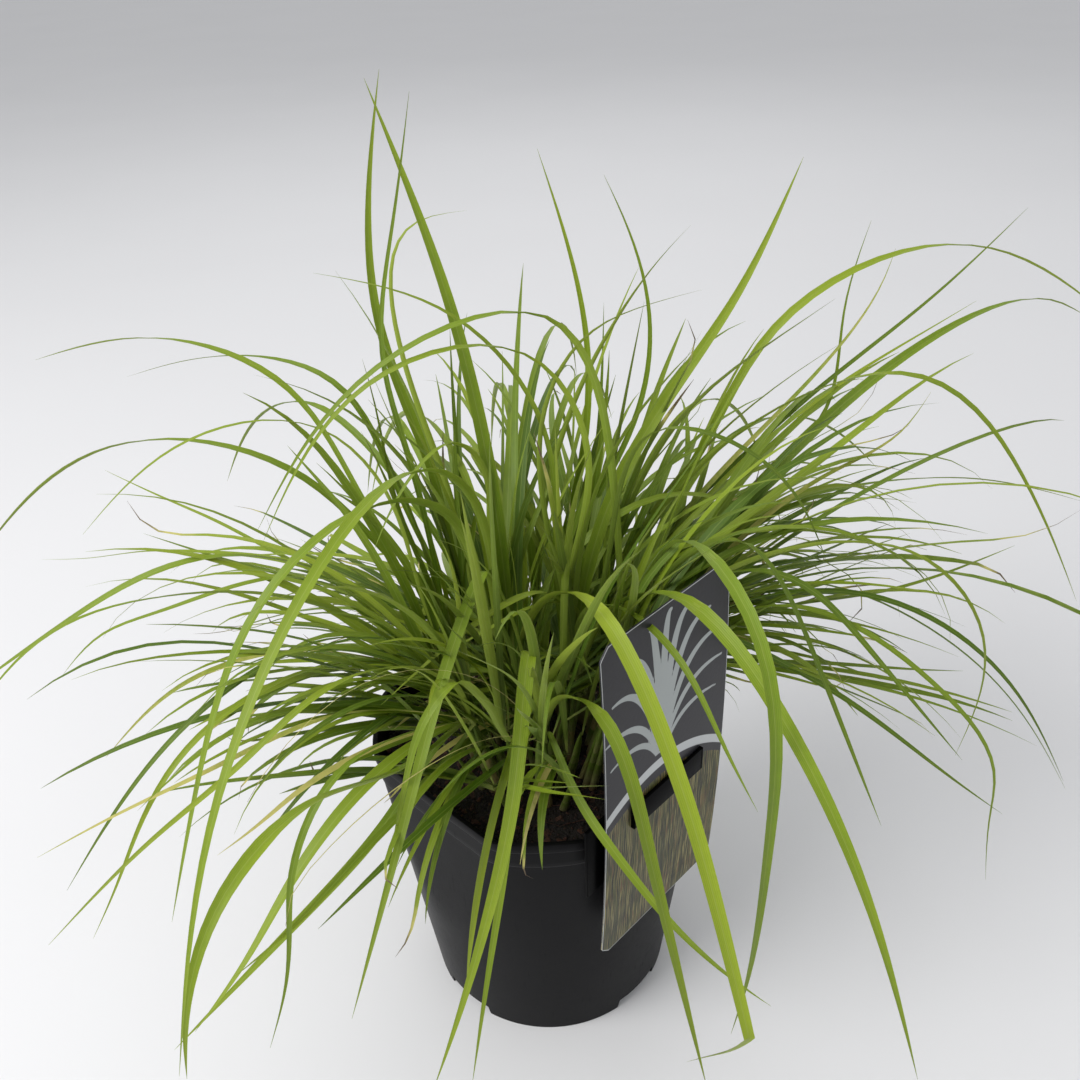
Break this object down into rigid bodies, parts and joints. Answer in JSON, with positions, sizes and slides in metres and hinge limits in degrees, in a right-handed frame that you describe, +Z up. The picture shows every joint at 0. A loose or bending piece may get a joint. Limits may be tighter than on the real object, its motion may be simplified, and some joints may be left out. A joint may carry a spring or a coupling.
{
  "type": "potted ornamental grass",
  "caption": "Young fountain grass, a tuft of long arching lime-green blades, growing in a black nursery pot with soil and an upright plant label clipped to the rim.",
  "frame": {"origin": "on the floor, under the middle of the pot", "axes": "+Z up, -Y to the front, where a short side of the pot's rim faces, +X to the right"},
  "size_m": [0.5308, 0.3904, 0.452],
  "materials": {
    "pot_plastic": "satin",
    "peat": "matte",
    "label_card": "satin",
    "clip_plastic": "gloss",
    "sheath": "satin",
    "blade": "satin"
  },
  "bodies": {
    "root": {"pot": "pot_plastic", "soil": "peat", "label": "label_card", "label_clip": "clip_plastic", "shoot_back": "sheath", "shoot_back_right": "sheath", "shoot_right": "sheath", "shoot_front_right": "sheath", "shoot_front": "sheath", "shoot_front_left": "sheath", "shoot_left": "sheath", "shoot_back_left": "sheath", "shoot_inner_left": "sheath", "shoot_inner_right": "sheath", "leaf_01": "blade", "leaf_02": "blade", "leaf_03": "blade", "leaf_04": "blade", "leaf_05": "blade", "leaf_06": "blade", "leaf_07": "blade", "leaf_08": "blade", "leaf_09": "blade", "leaf_10": "blade", "leaf_11": "blade", "leaf_12": "blade", "leaf_13": "blade", "leaf_14": "blade", "leaf_15": "blade", "leaf_16": "blade", "leaf_17": "blade", "leaf_18": "blade", "leaf_19": "blade", "leaf_20": "blade", "leaf_21": "blade", "leaf_22": "blade", "leaf_23": "blade", "leaf_24": "blade", "leaf_25": "blade", "leaf_26": "blade", "leaf_27": "blade", "leaf_28": "blade", "leaf_29": "blade", "leaf_30": "blade", "leaf_31": "blade", "leaf_32": "blade", "leaf_33": "blade", "leaf_34": "blade", "leaf_35": "blade", "leaf_36": "blade", "leaf_37": "blade", "leaf_38": "blade", "leaf_39": "blade", "leaf_40": "blade", "leaf_41": "blade", "leaf_42": "blade", "leaf_43": "blade", "leaf_44": "blade", "leaf_45": "blade", "leaf_46": "blade"}
  },
  "joints": []
}
